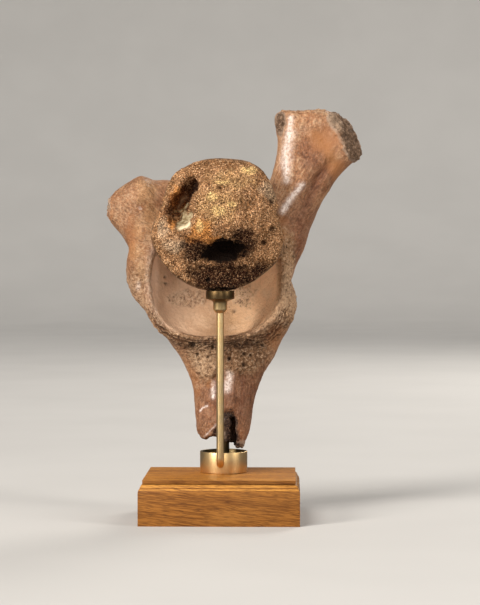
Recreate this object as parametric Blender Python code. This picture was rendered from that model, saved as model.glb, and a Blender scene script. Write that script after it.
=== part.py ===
"""A fossil mammoth acetabulum with its femoral head, mounted on a brass and wood stand.

Metres, +Z up and -Y to the front. The origin is the middle of the plinth's underside.
The bones' shapes are given in millimetres, as a workshop drawing would give them.
"""

import math

import bmesh
import bpy
from mathutils import Matrix, Vector, noise

MM = 0.001
GAP = 0.0003

# Plinth
PLINTH_WIDTH = 0.180
PLINTH_DEPTH = 0.149
BLOCK_HEIGHT = 0.0373
MOULDING_HEIGHT = 0.0096
SLAB_HEIGHT = 0.0039
SLAB_INSET = 0.0085
LEDGE_WIDTH = 0.0022
STEP_HEIGHT = 0.0012
SLAB_OVERHANG = 0.0012
PLINTH_TOP = BLOCK_HEIGHT + MOULDING_HEIGHT + SLAB_HEIGHT

# Brass fittings
COLLAR_X, COLLAR_Y = 0.0025, 0.020
COLLAR_RADIUS = 0.02725
COLLAR_HEIGHT = 0.0240
COLLAR_WALL = 0.0020
COLLAR_FLOOR = 0.0040
BRASS_CHAMFER = 0.0006
POST_RADIUS = 0.0065
POST_TOP = 0.165
BORE_FOOT = 0.115
ROD_X, ROD_Y = 0.0, -0.026
ROD_RADIUS = 0.0042
ROD_FOOT_Z = 0.0635
ELBOW_RADIUS = 0.0080
FLANGE_RADIUS = 0.01615
FLANGE_TOP = 0.2605
FLANGE_BOTTOM = 0.2515
CONE_DROP = 0.0028
NECK_RADIUS = 0.0080
NECK_LIP_RADIUS = 0.0087
NECK_CHAMFER_Z = 0.2392
NECK_BOTTOM = 0.2355
NECK_FOOT_RADIUS = 0.0050
NECK_LIP_HEIGHT = 0.0008

# Cup of the pelvis
CUP_CENTRE = Vector((-0.009, 0.004, 0.2755))
CUP_RADIUS = 0.0690
CUP_DEPTH = 0.060
CUP_TILT = math.radians(14)
CUP_SQUARE = 2.4
CUP_SQUARE_CHANGE = 0.4
CUP_WIDER_LEFT = 1.02
CUP_WIDER_RIGHT = 1.14
PELVIS_WAVE = 0.0022
PELVIS_WAVE_SPACING = 0.030

# Femoral head
HEAD_CENTRE = Vector((-0.0026, -0.030, 0.3345))
HEAD_RADIUS = 0.0752
HEAD_BACK = 0.044
HEAD_FRONT = 0.027
HEAD_LUMP = 0.004
HEAD_LUMP_SPACING = 0.017
SEAT_DEPTH = 0.030

# Fineness of the bones' faceted solids
PELVIS_VOXEL = 0.0045
PELVIS_KEEP = 0.138
HEAD_VOXEL = 0.0025
HEAD_KEEP = 0.115
COLLAR_STEPS = 48
FERRULE_STEPS = 32
POST_STEPS = 20
BOWL_STEPS = 48

# Colours: base colour, roughness, metallic
WOOD = ((0.42, 0.17, 0.055), 0.35, 0.0)
BRASS = ((0.78, 0.55, 0.25), 0.28, 1.0)
PELVIS_BONE = ((0.34, 0.21, 0.12), 0.42, 0.0)
HEAD_BONE = ((0.45, 0.28, 0.14), 0.75, 0.0)


def clear_scene():
    for thing in list(bpy.data.objects):
        bpy.data.objects.remove(thing, do_unlink=True)


def material(name, look):
    colour, roughness, metallic = look
    made = bpy.data.materials.new(name)
    made.use_nodes = True
    shader = made.node_tree.nodes["Principled BSDF"]
    shader.inputs["Base Color"].default_value = (*colour, 1.0)
    shader.inputs["Roughness"].default_value = roughness
    shader.inputs["Metallic"].default_value = metallic
    return made


def place(name, bm, look, smooth=True):
    """Turns a bmesh into a named object with its own material."""
    bmesh.ops.recalc_face_normals(bm, faces=bm.faces)
    mesh = bpy.data.meshes.new(name)
    bm.to_mesh(mesh)
    bm.free()
    if smooth:
        mesh.shade_smooth()
        mesh.set_sharp_from_angle(angle=math.radians(35))
    thing = bpy.data.objects.new(name, mesh)
    thing.data.materials.append(material(name + "_finish", look))
    bpy.context.scene.collection.objects.link(thing)
    return thing


def cutter(name, bm):
    """A shape that only cuts another, drawn as a wire."""
    thing = place(name, bm, PELVIS_BONE, smooth=False)
    thing.hide_render = True
    thing.display_type = "WIRE"
    return thing


def bridge(bm, rings):
    """Joins rings of points into one closed skin, with a face at each end."""
    for lower, upper in zip(rings, rings[1:]):
        for i in range(len(lower)):
            j = (i + 1) % len(lower)
            bm.faces.new((lower[i], lower[j], upper[j], upper[i]))
    bm.faces.new(rings[0])
    bm.faces.new(rings[-1])


def turned(bm, profile, matrix, steps):
    """Spins (radius, height) points about the local Z axis, then places the result."""
    points = [bm.verts.new((radius, 0.0, height)) for radius, height in profile]
    edges = [bm.edges.new(pair) for pair in zip(points, points[1:])]
    bmesh.ops.spin(
        bm, geom=points + edges, axis=(0, 0, 1), cent=(0, 0, 0), dvec=(0, 0, 0),
        angle=math.tau, steps=steps, use_merge=True,
    )
    bmesh.ops.remove_doubles(bm, verts=bm.verts, dist=1e-6)
    bmesh.ops.transform(bm, matrix=matrix, verts=bm.verts)


def add_lumps(bm, lumps):
    """Stretched balls, given by their middles and half-widths in mm."""
    for x, y, z, half_x, half_y, half_z in lumps:
        size = Matrix.Diagonal((half_x * MM, half_y * MM, half_z * MM, 1.0))
        bmesh.ops.create_icosphere(
            bm, subdivisions=4, radius=1.0, matrix=Matrix.Translation(Vector((x, y, z)) * MM) @ size
        )


def quarter_turn():
    """Angles of a quarter-round, in six steps."""
    return [math.radians(15 * step) for step in range(1, 7)]


def bell(distance, width):
    """A smooth bump: 1 at the middle and near 0 at twice the width."""
    return math.exp(-((distance / width) ** 2))


def cut_away(thing, shape):
    cut = thing.modifiers.new(shape.name, "BOOLEAN")
    cut.object = shape
    cut.operation = "DIFFERENCE"


def apply_modifiers(thing):
    """Swaps an object's mesh for the one its modifiers make."""
    graph = bpy.context.evaluated_depsgraph_get()
    made = bpy.data.meshes.new_from_object(thing.evaluated_get(graph))
    thing.modifiers.clear()
    thing.data = made


def add_remesh(thing, voxel):
    remesh = thing.modifiers.new("one skin", "REMESH")
    remesh.mode = "VOXEL"
    remesh.voxel_size = voxel
    remesh.use_smooth_shade = True


def add_smooth(thing, rounds):
    smooth = thing.modifiers.new("soften", "SMOOTH")
    smooth.factor = 0.5
    smooth.iterations = rounds


def add_thin(thing, keep):
    thin = thing.modifiers.new("fewer faces", "DECIMATE")
    thin.ratio = keep


# Stand

def plinth():
    """Stepped block: base, ledge, quarter-round, step and top slab."""
    arc_height = MOULDING_HEIGHT - STEP_HEIGHT
    arc_reach = SLAB_INSET - LEDGE_WIDTH
    levels = [(0.0, 0.0), (0.0, BLOCK_HEIGHT), (LEDGE_WIDTH, BLOCK_HEIGHT)]
    for angle in quarter_turn():
        levels.append((
            LEDGE_WIDTH + arc_reach * (1 - math.cos(angle)),
            BLOCK_HEIGHT + arc_height * math.sin(angle),
        ))
    levels.append((SLAB_INSET, BLOCK_HEIGHT + MOULDING_HEIGHT))
    levels.append((SLAB_INSET - SLAB_OVERHANG, BLOCK_HEIGHT + MOULDING_HEIGHT))
    levels.append((SLAB_INSET - SLAB_OVERHANG, PLINTH_TOP))
    bm = bmesh.new()
    rings = []
    for inset, height in levels:
        half_x = PLINTH_WIDTH / 2 - inset
        half_y = PLINTH_DEPTH / 2 - inset
        corners = ((-half_x, -half_y), (half_x, -half_y), (half_x, half_y), (-half_x, half_y))
        rings.append([bm.verts.new((x, y, height)) for x, y in corners])
    bridge(bm, rings)
    place("plinth", bm, WOOD, smooth=False)


def brass_collar():
    """Open cup that stands on the plinth."""
    base = PLINTH_TOP + GAP
    outer, inner = COLLAR_RADIUS, COLLAR_RADIUS - COLLAR_WALL
    profile = [
        (0.0, 0.0),
        (outer - BRASS_CHAMFER, 0.0),
        (outer, BRASS_CHAMFER),
        (outer, COLLAR_HEIGHT - BRASS_CHAMFER / 2),
        (outer - BRASS_CHAMFER / 2, COLLAR_HEIGHT),
        (inner, COLLAR_HEIGHT),
        (inner, COLLAR_FLOOR),
        (0.0, COLLAR_FLOOR),
    ]
    bm = bmesh.new()
    turned(bm, profile, Matrix.Translation((COLLAR_X, COLLAR_Y, base)), COLLAR_STEPS)
    place("brass_collar", bm, BRASS)


def brass_post():
    """Round bar that stands in the collar and goes up inside the pelvis."""
    foot = PLINTH_TOP + GAP + COLLAR_FLOOR + GAP
    profile = [
        (0.0, foot),
        (POST_RADIUS, foot),
        (POST_RADIUS, POST_TOP - BRASS_CHAMFER),
        (POST_RADIUS - BRASS_CHAMFER, POST_TOP),
        (0.0, POST_TOP),
    ]
    bm = bmesh.new()
    turned(bm, profile, Matrix.Translation((COLLAR_X, COLLAR_Y, 0.0)), POST_STEPS)
    place("brass_post", bm, BRASS)


def brass_rod():
    """Upright rod whose foot bends back to the collar's front wall."""
    collar_front = COLLAR_Y - COLLAR_RADIUS
    points = [(ROD_X, ROD_Y, NECK_BOTTOM - GAP), (ROD_X, ROD_Y, ROD_FOOT_Z + ELBOW_RADIUS)]
    for angle in quarter_turn():
        points.append((
            ROD_X,
            ROD_Y + ELBOW_RADIUS * (1 - math.cos(angle)),
            ROD_FOOT_Z + ELBOW_RADIUS * (1 - math.sin(angle)),
        ))
    points.append((ROD_X, collar_front - GAP, ROD_FOOT_Z))
    curve = bpy.data.curves.new("brass_rod", "CURVE")
    curve.dimensions = "3D"
    curve.bevel_depth = ROD_RADIUS
    curve.bevel_resolution = 4
    curve.use_fill_caps = True
    spline = curve.splines.new("POLY")
    spline.points.add(len(points) - 1)
    for point, place_of in zip(spline.points, points):
        point.co = (*place_of, 1.0)
    rod = bpy.data.objects.new("brass_rod", curve)
    curve.materials.append(material("brass_rod_finish", BRASS))
    bpy.context.scene.collection.objects.link(rod)


def brass_ferrule():
    """Flanged sleeve on the rod's top, which carries the femoral head."""
    cone_foot = FLANGE_BOTTOM - CONE_DROP
    profile = [
        (0.0, NECK_BOTTOM),
        (NECK_FOOT_RADIUS, NECK_BOTTOM),
        (NECK_RADIUS, NECK_CHAMFER_Z),
        (NECK_RADIUS, cone_foot - 1.5 * NECK_LIP_HEIGHT),
        (NECK_LIP_RADIUS, cone_foot - NECK_LIP_HEIGHT),
        (NECK_LIP_RADIUS, cone_foot),
        (FLANGE_RADIUS - BRASS_CHAMFER, FLANGE_BOTTOM),
        (FLANGE_RADIUS, FLANGE_BOTTOM + BRASS_CHAMFER),
        (FLANGE_RADIUS, FLANGE_TOP - BRASS_CHAMFER),
        (FLANGE_RADIUS - BRASS_CHAMFER, FLANGE_TOP),
        (0.0, FLANGE_TOP),
    ]
    bm = bmesh.new()
    turned(bm, profile, Matrix.Translation((ROD_X, ROD_Y, 0.0)), FERRULE_STEPS)
    place("brass_ferrule", bm, BRASS)


# Femoral head

# Outline seen from the front: angle from +X in degrees, change of radius in mm, width in degrees
HEAD_OUTLINE = (
    (160, -8.5, 17),
    (9, -7.0, 16),
    (57, 5.0, 17),
    (335, 4.0, 16),
    (196, 2.0, 12),
)

# Forms of the rough front: X, Z, width in X, width in Z, reach to the front, all in mm
HEAD_FORMS = (
    (3, 351, 50, 44, 19),
    (5, 330, 24, 13, 5),
    (-22, 329, 26, 16, 6),
    (40, 334, 30, 24, 4),
    (2, 282, 60, 18, -9),
    (63, 364, 6, 6, -5),
    (52, 320, 8, 7, -5),
)

# Hollows broken into the rough front: X, Y, Z and the three half-widths, all in mm
HEAD_HOLLOWS = (
    (-29, -58, 383, 9, 22, 9),
    (-34, -57, 374, 12, 24, 11),
    (-39, -56, 363, 14, 25, 13),
    (-42, -55, 351, 17, 25, 14),
    (-43, -54, 342, 15, 20, 10),
    (-8, -62, 302, 17, 23, 13),
    (6, -65, 303, 19, 26, 15),
    (20, -60, 304, 15, 21, 13),
    (6, -49, 311, 16, 15, 11),
)


def head_radius(angle):
    """Radius of the head's outline at an angle in degrees."""
    radius = HEAD_RADIUS
    for middle, change, width in HEAD_OUTLINE:
        away = (angle - middle + 180) % 360 - 180
        radius += change * MM * bell(away, width)
    return radius


def head_front_at(x, z):
    """How far the rough front stands out beyond its plain dome."""
    reach = 0.0
    for middle_x, middle_z, width_x, width_z, height in HEAD_FORMS:
        across = (x / MM - middle_x) / width_x
        up = (z / MM - middle_z) / width_z
        reach += height * MM * bell(math.hypot(across, up), 1.0)
    return reach


def head_hollows_cutter():
    """The crescent hollow at the upper left and the one under the boss."""
    bm = bmesh.new()
    add_lumps(bm, HEAD_HOLLOWS)
    hollows = cutter("head_hollows_cutter", bm)
    add_remesh(hollows, HEAD_VOXEL)
    apply_modifiers(hollows)
    return hollows


def seat_cutter():
    """Flat seat where the head rests on the flange."""
    bm = bmesh.new()
    radius = FLANGE_RADIUS + 2 * GAP
    bmesh.ops.create_cone(
        bm, cap_ends=True, segments=FERRULE_STEPS, radius1=radius, radius2=radius, depth=SEAT_DEPTH,
        matrix=Matrix.Translation((ROD_X, ROD_Y, FLANGE_TOP + GAP - SEAT_DEPTH / 2)),
    )
    return cutter("seat_cutter", bm)


def femoral_head():
    """Smooth cap to the back, rough broken side to the front, cut flat where it rests."""
    bm = bmesh.new()
    bmesh.ops.create_icosphere(bm, subdivisions=5, radius=1.0)
    for vert in bm.verts:
        direction = vert.co.copy()
        angle = math.degrees(math.atan2(direction.z, direction.x))
        radius = head_radius(angle)
        x = HEAD_CENTRE.x + radius * direction.x
        z = HEAD_CENTRE.z + radius * direction.z
        if direction.y > 0:
            y = HEAD_CENTRE.y + HEAD_BACK * direction.y
        else:
            facing = min(1.0, -direction.y * 1.6)
            lump = HEAD_LUMP * noise.noise(Vector((x, 0.0, z)) / HEAD_LUMP_SPACING)
            y = HEAD_CENTRE.y + HEAD_FRONT * direction.y - facing * (head_front_at(x, z) + lump)
        vert.co = (x, y, z)
    head = place("femoral_head", bm, HEAD_BONE)
    cut_away(head, head_hollows_cutter())
    add_remesh(head, HEAD_VOXEL)
    add_smooth(head, 2)
    add_thin(head, HEAD_KEEP)
    cut_away(head, seat_cutter())


# Pelvis

# Right stump and lower shaft: height, then left, right, front and back, all in mm
RIGHT_STUMP = (
    (266, 20, 80, 18, 84),
    (289, 22, 87, 15, 84),
    (313, 26, 98, 13, 80),
    (327, 30, 101, 12, 77),
    (344, 36, 108.5, 11, 72),
    (364, 46, 117, 10, 68),
    (383, 54, 129, 9, 65),
    (400, 60, 144, 8, 63),
    (412, 62.5, 161, 8, 62),
    (418, 63.5, 167, 9, 62),
    (432, 64, 165, 12, 62),
    (447, 62, 159, 16, 60),
    (457, 59.5, 148, 17, 59),
    (464.5, 61, 130, 20, 57),
    (468.5, 69, 116, 25, 53),
)

LOWER_SHAFT = (
    (239, -78, 82, 12, 84),
    (220, -74, 80, 8, 84),
    (205, -65, 72, 4, 80),
    (194, -57, 66, 0, 76),
    (184, -50, 61, -2, 72),
    (176, -45, 57, -2, 68),
    (164, -39, 49, 0, 63),
    (154, -35.5, 44, 1, 59),
    (144, -33, 41, 0, 55),
    (124, -31, 37.5, -3, 50),
    (109, -31, 35, -4, 47),
    (99, -29, 33, -4, 46),
    (91, -27, 30, -3, 45),
    (86, -16, 29, -1, 43),
    (80, 2, 28, 4, 40),
    (75.5, 12, 24, 10, 34),
)

# Left lobe and saddle: distance along X, then bottom, top, front and back, all in mm
SADDLE = (
    (-133, 345, 367, 28, 55),
    (-128, 338, 373, 22, 59),
    (-117, 325, 381, 20, 60),
    (-106, 305, 389, 14, 66),
    (-94, 288, 396, 10, 71),
    (-86, 281, 392, 10, 74),
    (-78, 275, 386, 12, 77),
    (-66, 270, 388, 14, 80),
    (-45, 266, 385, 18, 82),
    (0, 262, 380, 24, 84),
    (45, 262, 382, 22, 82),
    (80, 284, 390, 16, 74),
)

# Rounded lumps round the cup: X, Y, Z and the three half-widths, all in mm
LUMPS = (
    (-84, 26, 282, 28, 26, 44),
    (61, 20, 246, 26, 22, 36),
    (58, 22, 289, 26, 22, 34),
    (-9, 60, 274, 78, 38, 80),
)

# Dents and ridges pressed into the finished form: X, Y, Z, width and height, all in mm
PELVIS_MARKS = (
    (121, 8, 403, 11, -3.5),
    (110, 8, 387, 11, -4),
    (101, 8, 369, 11, -4),
    (93, 9, 350, 10, -3.5),
    (79, 10, 444, 10, 3),
    (78, 8, 418, 10, 3.5),
    (77, 8, 394, 9, 2.5),
    (90, 8, 382, 9, 2),
    (80, 8, 366, 9, 2.5),
    (70, 9, 350, 9, 2.5),
    (114, 10, 432, 16, -4),
    (-75, 10, 349, 16, -4),
    (-30, 94, 254, 26, -8),
    (36, 92, 304, 24, -7),
    (80, 66, 384, 20, -6),
)

# Hollow lower end: height and radius in mm, and how much flatter it is in front. Its front wall is
# broken: the outer sheet inside one outline and the whole wall inside the other, as (X, Z) in mm
HOLLOW = ((64, 20.5), (89, 19.5), (109, 17.6), (124, 13), (133, 7), (135, 0))
HOLLOW_FRONT = 0.62
SHEET_BREAK = (
    (-16, 64), (-17, 92), (-13, 97), (-7, 104), (-1, 113), (4, 121), (10, 123.5),
    (16, 120), (19.5, 106), (20, 92), (17, 80), (15, 64),
)
SHEET_BREAK_BACK = 0.0025
GAP_BELOW = (
    (-17, 64), (-17.5, 90.5), (-9, 93.5), (-3, 92), (3, 88), (8.5, 86), (10.6, 89), (10.8, 112),
    (13, 118.5), (15.6, 117), (17.2, 108), (17.6, 92), (16.4, 80), (15, 64),
)

# Broken face of the right stump: a point on it in mm, and the direction that it faces
STUMP_FACE_POINT = (137, 8, 430)
STUMP_FACE_WAY = (0.85, -0.53, 0.42)

# The limbs' cross-sections: points round each, and 2 for an ellipse or more for squarer corners
LIMB_POINTS = 28
CORNER_POWER = 2.4


def oval(half_a, half_b, count):
    """Points of a slightly squared oval."""
    for i in range(count):
        angle = math.tau * i / count
        cos, sin = math.cos(angle), math.sin(angle)
        power = 2 / CORNER_POWER
        yield (
            half_a * math.copysign(abs(cos) ** power, cos),
            half_b * math.copysign(abs(sin) ** power, sin),
        )


def add_limb(bm, levels, along_x):
    """One limb of the pelvis, through ovals given by their two spans."""
    rings = []
    for level, low, high, front, back in levels:
        middle, half = (low + high) / 2, (high - low) / 2
        middle_y, half_y = (front + back) / 2, (back - front) / 2
        ring = []
        for a, b in oval(half, half_y, LIMB_POINTS):
            if along_x:
                point = (level, middle_y + b, middle + a)
            else:
                point = (middle + a, middle_y + b, level)
            ring.append(bm.verts.new(Vector(point) * MM))
        rings.append(ring)
    bridge(bm, rings)


def cup_matrix():
    """Local Z points out of the cup's opening: to the front and a little up."""
    return Matrix.Translation(CUP_CENTRE) @ Matrix.Rotation(math.radians(90) - CUP_TILT, 4, "X")


def add_bowl(bm):
    """Thick bowl round the cup, still filled. Profile as radius and height along the cup's axis."""
    profile = (
        (0, -86), (34, -83), (60, -70), (78, -48), (86, -24), (86, -10), (81, 0), (74, 3), (0, 3),
    )
    bowl = bmesh.new()
    points = [(radius * MM, height * MM) for radius, height in profile]
    turned(bowl, points, cup_matrix(), BOWL_STEPS)
    mesh = bpy.data.meshes.new("bowl")
    bowl.to_mesh(mesh)
    bowl.free()
    bm.from_mesh(mesh)
    bpy.data.meshes.remove(mesh)


def pelvis_forms():
    """The limbs, the bowl and the lumps, each closed, overlapping one another."""
    bm = bmesh.new()
    add_limb(bm, RIGHT_STUMP, along_x=False)
    add_limb(bm, LOWER_SHAFT, along_x=False)
    add_limb(bm, SADDLE, along_x=True)
    add_bowl(bm)
    add_lumps(bm, LUMPS)
    return bm


def cup_cutter():
    """Ball that hollows the cup, made squarer below and wider on its right."""
    in_front = (CUP_RADIUS**2 - CUP_DEPTH**2) / (2 * CUP_DEPTH)
    bm = bmesh.new()
    bmesh.ops.create_icosphere(bm, subdivisions=5, radius=CUP_DEPTH + in_front)
    for vert in bm.verts:
        away = math.hypot(vert.co.x, vert.co.y)
        if away < GAP:
            continue
        across, up = abs(vert.co.x) / away, vert.co.y / away
        power = CUP_SQUARE - CUP_SQUARE_CHANGE * up
        grow = (across**power + abs(up) ** power) ** (-1 / power)
        vert.co.x *= grow * (CUP_WIDER_RIGHT if vert.co.x > 0 else CUP_WIDER_LEFT)
        vert.co.y *= grow
    bmesh.ops.transform(bm, matrix=cup_matrix() @ Matrix.Translation((0, 0, in_front)), verts=bm.verts)
    return cutter("cup_cutter", bm)


def hollow_cutter():
    """Tapering hollow that the post goes up into."""
    bm = bmesh.new()
    profile = [(0.0, HOLLOW[0][0] * MM)] + [(radius * MM, height * MM) for height, radius in HOLLOW]
    turned(bm, profile, Matrix.Translation((COLLAR_X, COLLAR_Y, 0.0)), BOWL_STEPS)
    for vert in bm.verts:
        if vert.co.y < COLLAR_Y:
            vert.co.y = COLLAR_Y - (COLLAR_Y - vert.co.y) * HOLLOW_FRONT
    return cutter("hollow_cutter", bm)


def break_cutter(name, outline, back):
    """Break in the front wall of the lower end, from in front of it to a depth."""
    bm = bmesh.new()
    rings = []
    for y in (ROD_Y, back):
        rings.append([bm.verts.new((x * MM, y, z * MM)) for x, z in outline])
    bridge(bm, rings)
    return cutter(name, bm)


def stump_face_cutter():
    """Block that breaks the right stump off along a slanting face."""
    way = Vector(STUMP_FACE_WAY).normalized()
    turn = way.to_track_quat("Z", "Y").to_matrix().to_4x4()
    middle = Vector(STUMP_FACE_POINT) * MM + way * HEAD_RADIUS
    bm = bmesh.new()
    bmesh.ops.create_cube(bm, size=2 * HEAD_RADIUS, matrix=Matrix.Translation(middle) @ turn)
    return cutter("stump_face_cutter", bm)


def bore_cutter():
    """Close bore that the post's upper end sits in."""
    bm = bmesh.new()
    radius = (POST_RADIUS + GAP) / math.cos(math.pi / POST_STEPS)
    top = POST_TOP + GAP
    profile = [(0.0, BORE_FOOT), (radius, BORE_FOOT), (radius, top), (0.0, top)]
    turned(bm, profile, Matrix.Translation((COLLAR_X, COLLAR_Y, 0.0)), POST_STEPS)
    return cutter("bore_cutter", bm)


def press_marks(thing):
    """Presses the dents, raises the ridges and gives the bone a slight natural wave."""
    mesh = thing.data
    normals = [vert.normal.copy() for vert in mesh.vertices]
    for vert, normal in zip(mesh.vertices, normals):
        change = PELVIS_WAVE * noise.noise(vert.co / PELVIS_WAVE_SPACING)
        for x, y, z, width, height in PELVIS_MARKS:
            away = (vert.co / MM - Vector((x, y, z))).length
            change += height * MM * bell(away, width)
        vert.co = vert.co + normal * change


def pelvis_acetabulum():
    """Pelvis fragment in one piece: cup, saddle, three broken stumps and a hollow lower end."""
    pelvis = place("pelvis_acetabulum", pelvis_forms(), PELVIS_BONE)
    add_remesh(pelvis, PELVIS_VOXEL)
    add_smooth(pelvis, 5)
    apply_modifiers(pelvis)
    press_marks(pelvis)
    for shape in (
        cup_cutter(), hollow_cutter(), stump_face_cutter(),
        break_cutter("sheet_break_cutter", SHEET_BREAK, SHEET_BREAK_BACK),
    ):
        cut_away(pelvis, shape)
    add_remesh(pelvis, PELVIS_VOXEL * 0.8)
    add_smooth(pelvis, 2)
    add_thin(pelvis, PELVIS_KEEP)
    cut_away(pelvis, break_cutter("gap_cutter", GAP_BELOW, COLLAR_Y))
    cut_away(pelvis, bore_cutter())


clear_scene()
plinth()
brass_collar()
brass_post()
brass_rod()
brass_ferrule()
femoral_head()
pelvis_acetabulum()
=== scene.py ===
"""Looks of a mounted fossil mammoth acetabulum: bone, brass, wood and a small studio."""

import math
from functools import partialmethod

import bmesh
import bpy
import numpy as np
from mathutils import Matrix, Vector, noise


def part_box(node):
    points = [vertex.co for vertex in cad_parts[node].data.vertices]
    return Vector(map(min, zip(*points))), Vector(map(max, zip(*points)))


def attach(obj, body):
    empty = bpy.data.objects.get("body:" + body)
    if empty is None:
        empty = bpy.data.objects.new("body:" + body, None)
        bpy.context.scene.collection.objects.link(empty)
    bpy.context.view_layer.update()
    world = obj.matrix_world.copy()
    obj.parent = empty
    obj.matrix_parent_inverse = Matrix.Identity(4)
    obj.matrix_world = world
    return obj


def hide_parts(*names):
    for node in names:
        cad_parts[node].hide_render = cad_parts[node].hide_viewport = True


bl_info = {
    "name": "Mounted fossil hip socket",
    "version": (1, 0, 0),
    "blender": (4, 5, 0),
    "location": "3D View > Sidebar > Specimen",
    "description": "Dresses the fossil, its brass fittings and its wooden plinth",
    "category": "Object",
}

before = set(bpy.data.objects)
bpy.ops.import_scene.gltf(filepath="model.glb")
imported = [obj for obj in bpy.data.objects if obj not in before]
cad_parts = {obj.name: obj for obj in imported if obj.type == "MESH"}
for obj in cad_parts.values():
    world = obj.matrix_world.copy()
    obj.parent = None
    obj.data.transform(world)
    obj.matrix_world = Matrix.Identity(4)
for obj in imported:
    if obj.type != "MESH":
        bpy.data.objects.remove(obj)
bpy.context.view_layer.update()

MM = 0.001
PLINTH_LOW, PLINTH_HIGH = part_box("plinth")
COLLAR_LOW, COLLAR_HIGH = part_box("brass_collar")
POST_LOW, POST_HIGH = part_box("brass_post")
ROD_LOW, ROD_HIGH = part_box("brass_rod")
FERRULE_LOW, FERRULE_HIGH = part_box("brass_ferrule")
HEAD_LOW, HEAD_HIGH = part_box("femoral_head")

# The cup of the pelvis, in the frame: middle of its mouth, its radius, its depth and its upward tilt
CUP_CENTRE = Vector((-0.009, 0.004, 0.2755))
CUP_RADIUS = 0.069
CUP_DEPTH = 0.060
CUP_TILT = math.radians(14)
CUP_SQUARE = 2.4
CUP_SQUARE_CHANGE = 0.4
CUP_WIDER_LEFT = 1.02
CUP_WIDER_RIGHT = 1.14
CUP_AXIS = Vector((0.0, -math.cos(CUP_TILT), math.sin(CUP_TILT)))
BALL_AHEAD = (CUP_RADIUS**2 - CUP_DEPTH**2) / (2 * CUP_DEPTH)
BALL_RADIUS = CUP_DEPTH + BALL_AHEAD

# The camera, fitted to the photograph
CAMERA_PLACE = (0.0765, -2.280, 0.303)
CAMERA_PITCH = math.radians(90 - 1.417)
CAMERA_YAW = math.radians(1.375)
CAMERA_LENS = 119.0

# The studio: its floor, the middle of the specimen and the tones of its lights
FLOOR_REACH = 6.0
FLOOR_BEND = 3.0
WALL_TOP = 5.0
SPECIMEN_MIDDLE = (0.0, 0.0, 0.27)
SOFTBOX_TONE = (1.0, 0.955, 0.90)
HIGH_TONE = (1.0, 0.97, 0.93)


# Settings

def watts(label, note, default):
    return bpy.props.FloatProperty(name=label, description=note, default=default, min=0.0, unit="POWER")


def metres(label, note, default, least=0.0):
    return bpy.props.FloatProperty(name=label, description=note, default=default, min=least, unit="LENGTH")


def paint(label, note, default):
    return bpy.props.FloatVectorProperty(
        name=label, description=note, default=default, subtype="COLOR", size=3, min=0.0, max=1.0)


class StudioSettings(bpy.types.PropertyGroup):
    left_power: watts("Left softbox", "Power of the softbox on the left", 102.0)
    right_power: watts("Right softbox", "Power of the softbox on the right", 36.0)
    fill_power: watts("Front fill", "Power of the small low fill in front", 18.0)
    back_power: watts("Back softbox", "Power of the softbox behind", 60.0)
    high_strength: bpy.props.FloatProperty(
        name="High light", description="Strength of the broad light above", default=1.9, min=0.0)
    air_colour: paint("Room tone", "Even light from all round", (0.120, 0.120, 0.125))
    floor_colour: paint("Floor", "Colour of the pale floor", (0.56, 0.545, 0.52))


class WoodSettings(bpy.types.PropertyGroup):
    moulding_height: metres("Moulding height", "Height of the moulding above the block", 0.0096)
    slab_height: metres("Slab height", "Thickness of the top slab", 0.0039)
    slab_inset: metres("Slab inset", "How far the moulding steps in from the block", 0.0085)
    light_colour: paint("Light wood", "Colour of the early wood", (0.296, 0.116, 0.021))
    dark_colour: paint("Dark wood", "Colour of the grain lines", (0.142, 0.049, 0.009))


class BrassSettings(bpy.types.PropertyGroup):
    colour: paint("Brass", "Colour of the satin brass", (0.840, 0.610, 0.310))
    wall: metres("Collar wall", "Thickness of the collar's wall", 0.0020)
    elbow_radius: metres("Elbow radius", "Bend radius of the rod's foot", 0.0080)


class HeadSettings(bpy.types.PropertyGroup):
    fineness: metres("Fineness", "Mesh spacing of the femoral head", 0.00090, 0.0008)
    pore_depth: metres("Pore depth", "Depth of the open pores", 0.0011)
    tan_colour: paint("Tan", "Colour of the spongy bone", (0.455, 0.230, 0.104))
    # The pores' colour is painted shade in the open pores and pits
    dark_colour: paint("Pores", "Colour in the pores", (0.042, 0.016, 0.006))


class PelvisSettings(bpy.types.PropertyGroup):
    fineness: metres("Fineness", "Mesh spacing of the pelvis", 0.00165, 0.0012)
    pore_depth: metres("Pore depth", "Depth of the pores where the bone is broken or rough", 0.0012)
    bone_colour: paint("Bone", "Colour of the worn outer bone", (0.330, 0.165, 0.080))
    rust_colour: paint("Rust stain", "Colour of the iron stain", (0.315, 0.135, 0.056))
    pale_colour: paint("Pale bone", "Colour of the rough and spongy bone", (0.405, 0.232, 0.120))


# Small helpers

def bell(distance, width):
    return np.exp(-((distance / width) ** 2))


def step(low, high, value):
    """Smooth rise from 0 at low to 1 at high."""
    t = np.clip((value - low) / (high - low), 0.0, 1.0)
    return t * t * (3 - 2 * t)


def sampled(points, spacing, shift, sample):
    """A noise taken at every point, at a spacing and with a shift."""
    offset = Vector((shift, shift * 1.7, shift * 0.6))
    return np.array([sample(Vector(point) / spacing + offset) for point in points])


def field(points, spacing, shift=0.0):
    """Smooth noise between about -1 and 1 at every point."""
    return sampled(points, spacing, shift, noise.noise)


def rough_field(points, spacing, octaves, shift=0.0):
    """Noise in several sizes at once."""
    return sampled(points, spacing, shift, lambda place: noise.fractal(place, 0.8, 2.1, octaves))


def cells(points, spacing, shift=0.0):
    """Distance to the nearest cell middle, 0 to about 1."""
    return sampled(points, spacing, shift, lambda place: noise.voronoi(place)[0][0])


def beside_path(points, path):
    """Distance of every point from a line of (X, Z) corners, seen from the front."""
    flat, away = points[:, [0, 2]], []
    for start, end in zip(path, path[1:]):
        start, along = np.array(start, float), np.subtract(end, start)
        part = np.clip((flat - start) @ along / (along @ along), 0, 1)
        away.append(np.linalg.norm(flat - start - part[:, None] * along, axis=1))
    return np.min(away, axis=0)


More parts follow.
